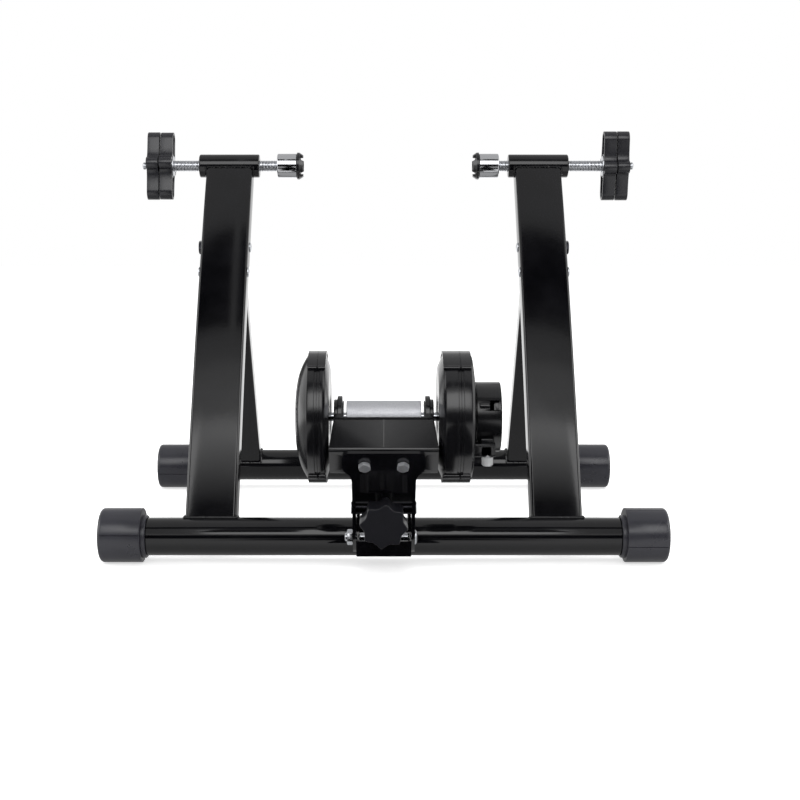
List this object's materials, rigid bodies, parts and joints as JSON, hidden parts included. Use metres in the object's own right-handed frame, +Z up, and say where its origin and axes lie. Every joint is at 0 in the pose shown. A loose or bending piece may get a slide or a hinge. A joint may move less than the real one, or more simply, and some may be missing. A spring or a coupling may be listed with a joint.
{
  "type": "bicycle trainer stand",
  "caption": "Folding steel bicycle trainer stand with rear axle clamps, levelling feet and a swinging magnetic roller unit.",
  "frame": {"origin": "on the floor, under the middle of the stand's outline", "axes": "+Z up; +Y from the roller unit and front ground tube towards the rear ground tube; +X towards the side that carries the magnetic brake"},
  "size_m": [0.55, 0.5, 0.424],
  "materials": {
    "paint": "gloss black powder coat",
    "housing": "gloss black moulded",
    "rubber": "satin charcoal",
    "chrome": "polished chrome plate",
    "zinc": "bright zinc plate",
    "aluminium": "finely turned",
    "iron": "as cast",
    "nylon": "natural nylon"
  },
  "bodies": {
    "frame": {"front_ground_tube": "paint", "front_leg_left": "paint", "front_leg_right": "paint", "clamp_sleeve_left": "paint", "clamp_sleeve_right": "paint", "fold_bolt_left": "zinc", "fold_bolt_right": "zinc", "fold_nut_left": "zinc", "fold_nut_right": "zinc", "stop_rivet_left": "zinc", "stop_rivet_right": "zinc", "base_bracket": "paint", "pivot_bolt": "zinc", "pivot_nut": "zinc"},
    "rear_frame": {"rear_ground_tube": "paint", "rear_leg_left": "paint", "rear_leg_right": "paint", "fold_bush_left": "nylon", "fold_bush_right": "nylon"},
    "front_foot_left": {"foot_cap_front_left": "rubber"},
    "front_foot_right": {"foot_cap_front_right": "rubber"},
    "rear_foot_left": {"foot_cap_rear_left": "rubber"},
    "rear_foot_right": {"foot_cap_rear_right": "rubber"},
    "clamp_left": {"axle_cup_left": "chrome", "jaw_tip_left": "housing"},
    "clamp_handle_left": {"clamp_screw_left": "zinc", "hand_wheel_left": "housing"},
    "lock_carrier_left": {"lock_washer_left": "zinc"},
    "lock_left": {"lock_wheel_left": "housing"},
    "clamp_right": {"axle_cup_right": "chrome", "jaw_tip_right": "housing"},
    "clamp_handle_right": {"clamp_screw_right": "zinc", "hand_wheel_right": "housing"},
    "lock_carrier_right": {"lock_washer_right": "zinc"},
    "lock_right": {"lock_wheel_right": "housing"},
    "roller_unit": {"swing_bracket": "paint", "cradle_bolt_left": "zinc", "cradle_bolt_right": "zinc", "roller_cradle": "housing", "bearing_collar_left": "housing", "bearing_collar_right": "housing", "bearing_left": "zinc", "bearing_right": "zinc", "flywheel_cover_inner": "housing", "flywheel_cover_outer": "housing", "brake_cover_inner": "housing", "brake_cover_outer": "housing", "cable_inlet": "nylon"},
    "roller_set": {"roller": "aluminium", "roller_shaft": "zinc", "flywheel": "iron", "brake_rotor": "aluminium"},
    "drum": {"resistance_drum": "housing"},
    "magnet_carrier": {"magnet_ring": "iron"},
    "adjuster_base": {"base_barrel": "zinc", "adjuster_spring": "zinc"},
    "adjuster_yoke": {"swing_barrel": "zinc"},
    "adjuster": {"adjuster_screw": "zinc", "star_knob": "housing"}
  },
  "joints": [
    {"name": "rear_fold", "type": "hinge", "parent": "frame", "child": "rear_frame", "pos_m": [0, 0.0405, 0.29941], "axis": [-1, 0, 0], "range_deg": [0, 54]},
    {"name": "front_foot_left_turn", "type": "hinge", "parent": "frame", "child": "front_foot_left", "pos_m": [-0.255, -0.1286, 0.025], "axis": [1, 0, 0], "range_deg": [-180, 180]},
    {"name": "front_foot_right_turn", "type": "hinge", "parent": "frame", "child": "front_foot_right", "pos_m": [0.255, -0.1286, 0.025], "axis": [1, 0, 0], "range_deg": [-180, 180]},
    {"name": "rear_foot_left_turn", "type": "hinge", "parent": "rear_frame", "child": "rear_foot_left", "pos_m": [-0.255, 0.2236, 0.0278], "axis": [1, 0, 0], "range_deg": [-180, 180]},
    {"name": "rear_foot_right_turn", "type": "hinge", "parent": "rear_frame", "child": "rear_foot_right", "pos_m": [0.255, 0.2236, 0.0278], "axis": [1, 0, 0], "range_deg": [-180, 180]},
    {"name": "clamp_left_travel", "type": "slide", "parent": "frame", "child": "clamp_left", "axis": [1, 0, 0], "range_m": [-0.0192, 0.0141]},
    {"name": "clamp_left_screw", "type": "hinge", "parent": "clamp_left", "child": "clamp_handle_left", "pos_m": [-0.187, 0.0963, 0.3866], "axis": [1, 0, 0], "range_deg": [-3900, 2880]},
    {"name": "lock_left_travel", "type": "slide", "parent": "clamp_handle_left", "child": "lock_carrier_left", "axis": [1, 0, 0], "range_m": [0, 0.0141]},
    {"name": "lock_left_screw", "type": "hinge", "parent": "lock_carrier_left", "child": "lock_left", "pos_m": [-0.238, 0.0963, 0.3866], "axis": [1, 0, 0], "range_deg": [0, 2880]},
    {"name": "clamp_right_travel", "type": "slide", "parent": "frame", "child": "clamp_right", "axis": [-1, 0, 0], "range_m": [-0.01, 0.0188]},
    {"name": "clamp_right_screw", "type": "hinge", "parent": "clamp_right", "child": "clamp_handle_right", "pos_m": [0.196, 0.0963, 0.3866], "axis": [-1, 0, 0], "range_deg": [-2040, 3850]},
    {"name": "lock_right_travel", "type": "slide", "parent": "clamp_handle_right", "child": "lock_carrier_right", "axis": [-1, 0, 0], "range_m": [0, 0.0188]},
    {"name": "lock_right_screw", "type": "hinge", "parent": "lock_carrier_right", "child": "lock_right", "pos_m": [0.247, 0.0963, 0.3866], "axis": [-1, 0, 0], "range_deg": [0, 3850]},
    {"name": "roller_unit_swing", "type": "hinge", "parent": "frame", "child": "roller_unit", "pos_m": [0, -0.1664, 0.0337], "axis": [-1, 0, 0], "range_deg": [-6, 14]},
    {"name": "roller_spin", "type": "hinge", "parent": "roller_unit", "child": "roller_set", "pos_m": [0, -0.1915, 0.153], "axis": [1, 0, 0], "continuous": true},
    {"name": "drum_turn", "type": "hinge", "parent": "roller_unit", "child": "drum", "pos_m": [0.09, -0.1915, 0.153], "axis": [-1, 0, 0], "range_deg": [0, 150]},
    {"name": "magnet_travel", "type": "slide", "parent": "roller_unit", "child": "magnet_carrier", "axis": [-1, 0, 0], "range_m": [0, 0.005]},
    {"name": "adjuster_tilt", "type": "hinge", "parent": "frame", "child": "adjuster_base", "pos_m": [0, -0.1481, 0.0753], "axis": [-1, 0, 0], "range_deg": [-2, 4.5]},
    {"name": "adjuster_travel", "type": "slide", "parent": "adjuster_base", "child": "adjuster_yoke", "axis": [0, 0.9779, 0.2089], "range_m": [-0.004, 0.0093], "deforming": ["adjuster_spring"]},
    {"name": "adjuster_screw_turn", "type": "hinge", "parent": "adjuster_yoke", "child": "adjuster", "pos_m": [0, -0.18739, 0.06691], "axis": [0, 0.9779, 0.2089], "range_deg": [-1130, 2635]}
  ],
  "couplings": [
    {"joint": "clamp_left_travel", "follows": "clamp_left_screw", "m_per_rad": 0.00027852},
    {"joint": "clamp_right_travel", "follows": "clamp_right_screw", "m_per_rad": 0.00027852},
    {"joint": "lock_left_travel", "follows": "lock_left_screw", "m_per_rad": 0.00027852},
    {"joint": "lock_right_travel", "follows": "lock_right_screw", "m_per_rad": 0.00027852},
    {"joint": "adjuster_screw_turn", "follows": "roller_unit_swing", "ratio": 188.07},
    {"joint": "adjuster_tilt", "follows": "roller_unit_swing", "ratio": 0.31401},
    {"joint": "adjuster_travel", "follows": "roller_unit_swing", "m_per_rad": 0.037415},
    {"joint": "magnet_travel", "follows": "drum_turn", "m_per_rad": 0.0019}
  ]
}
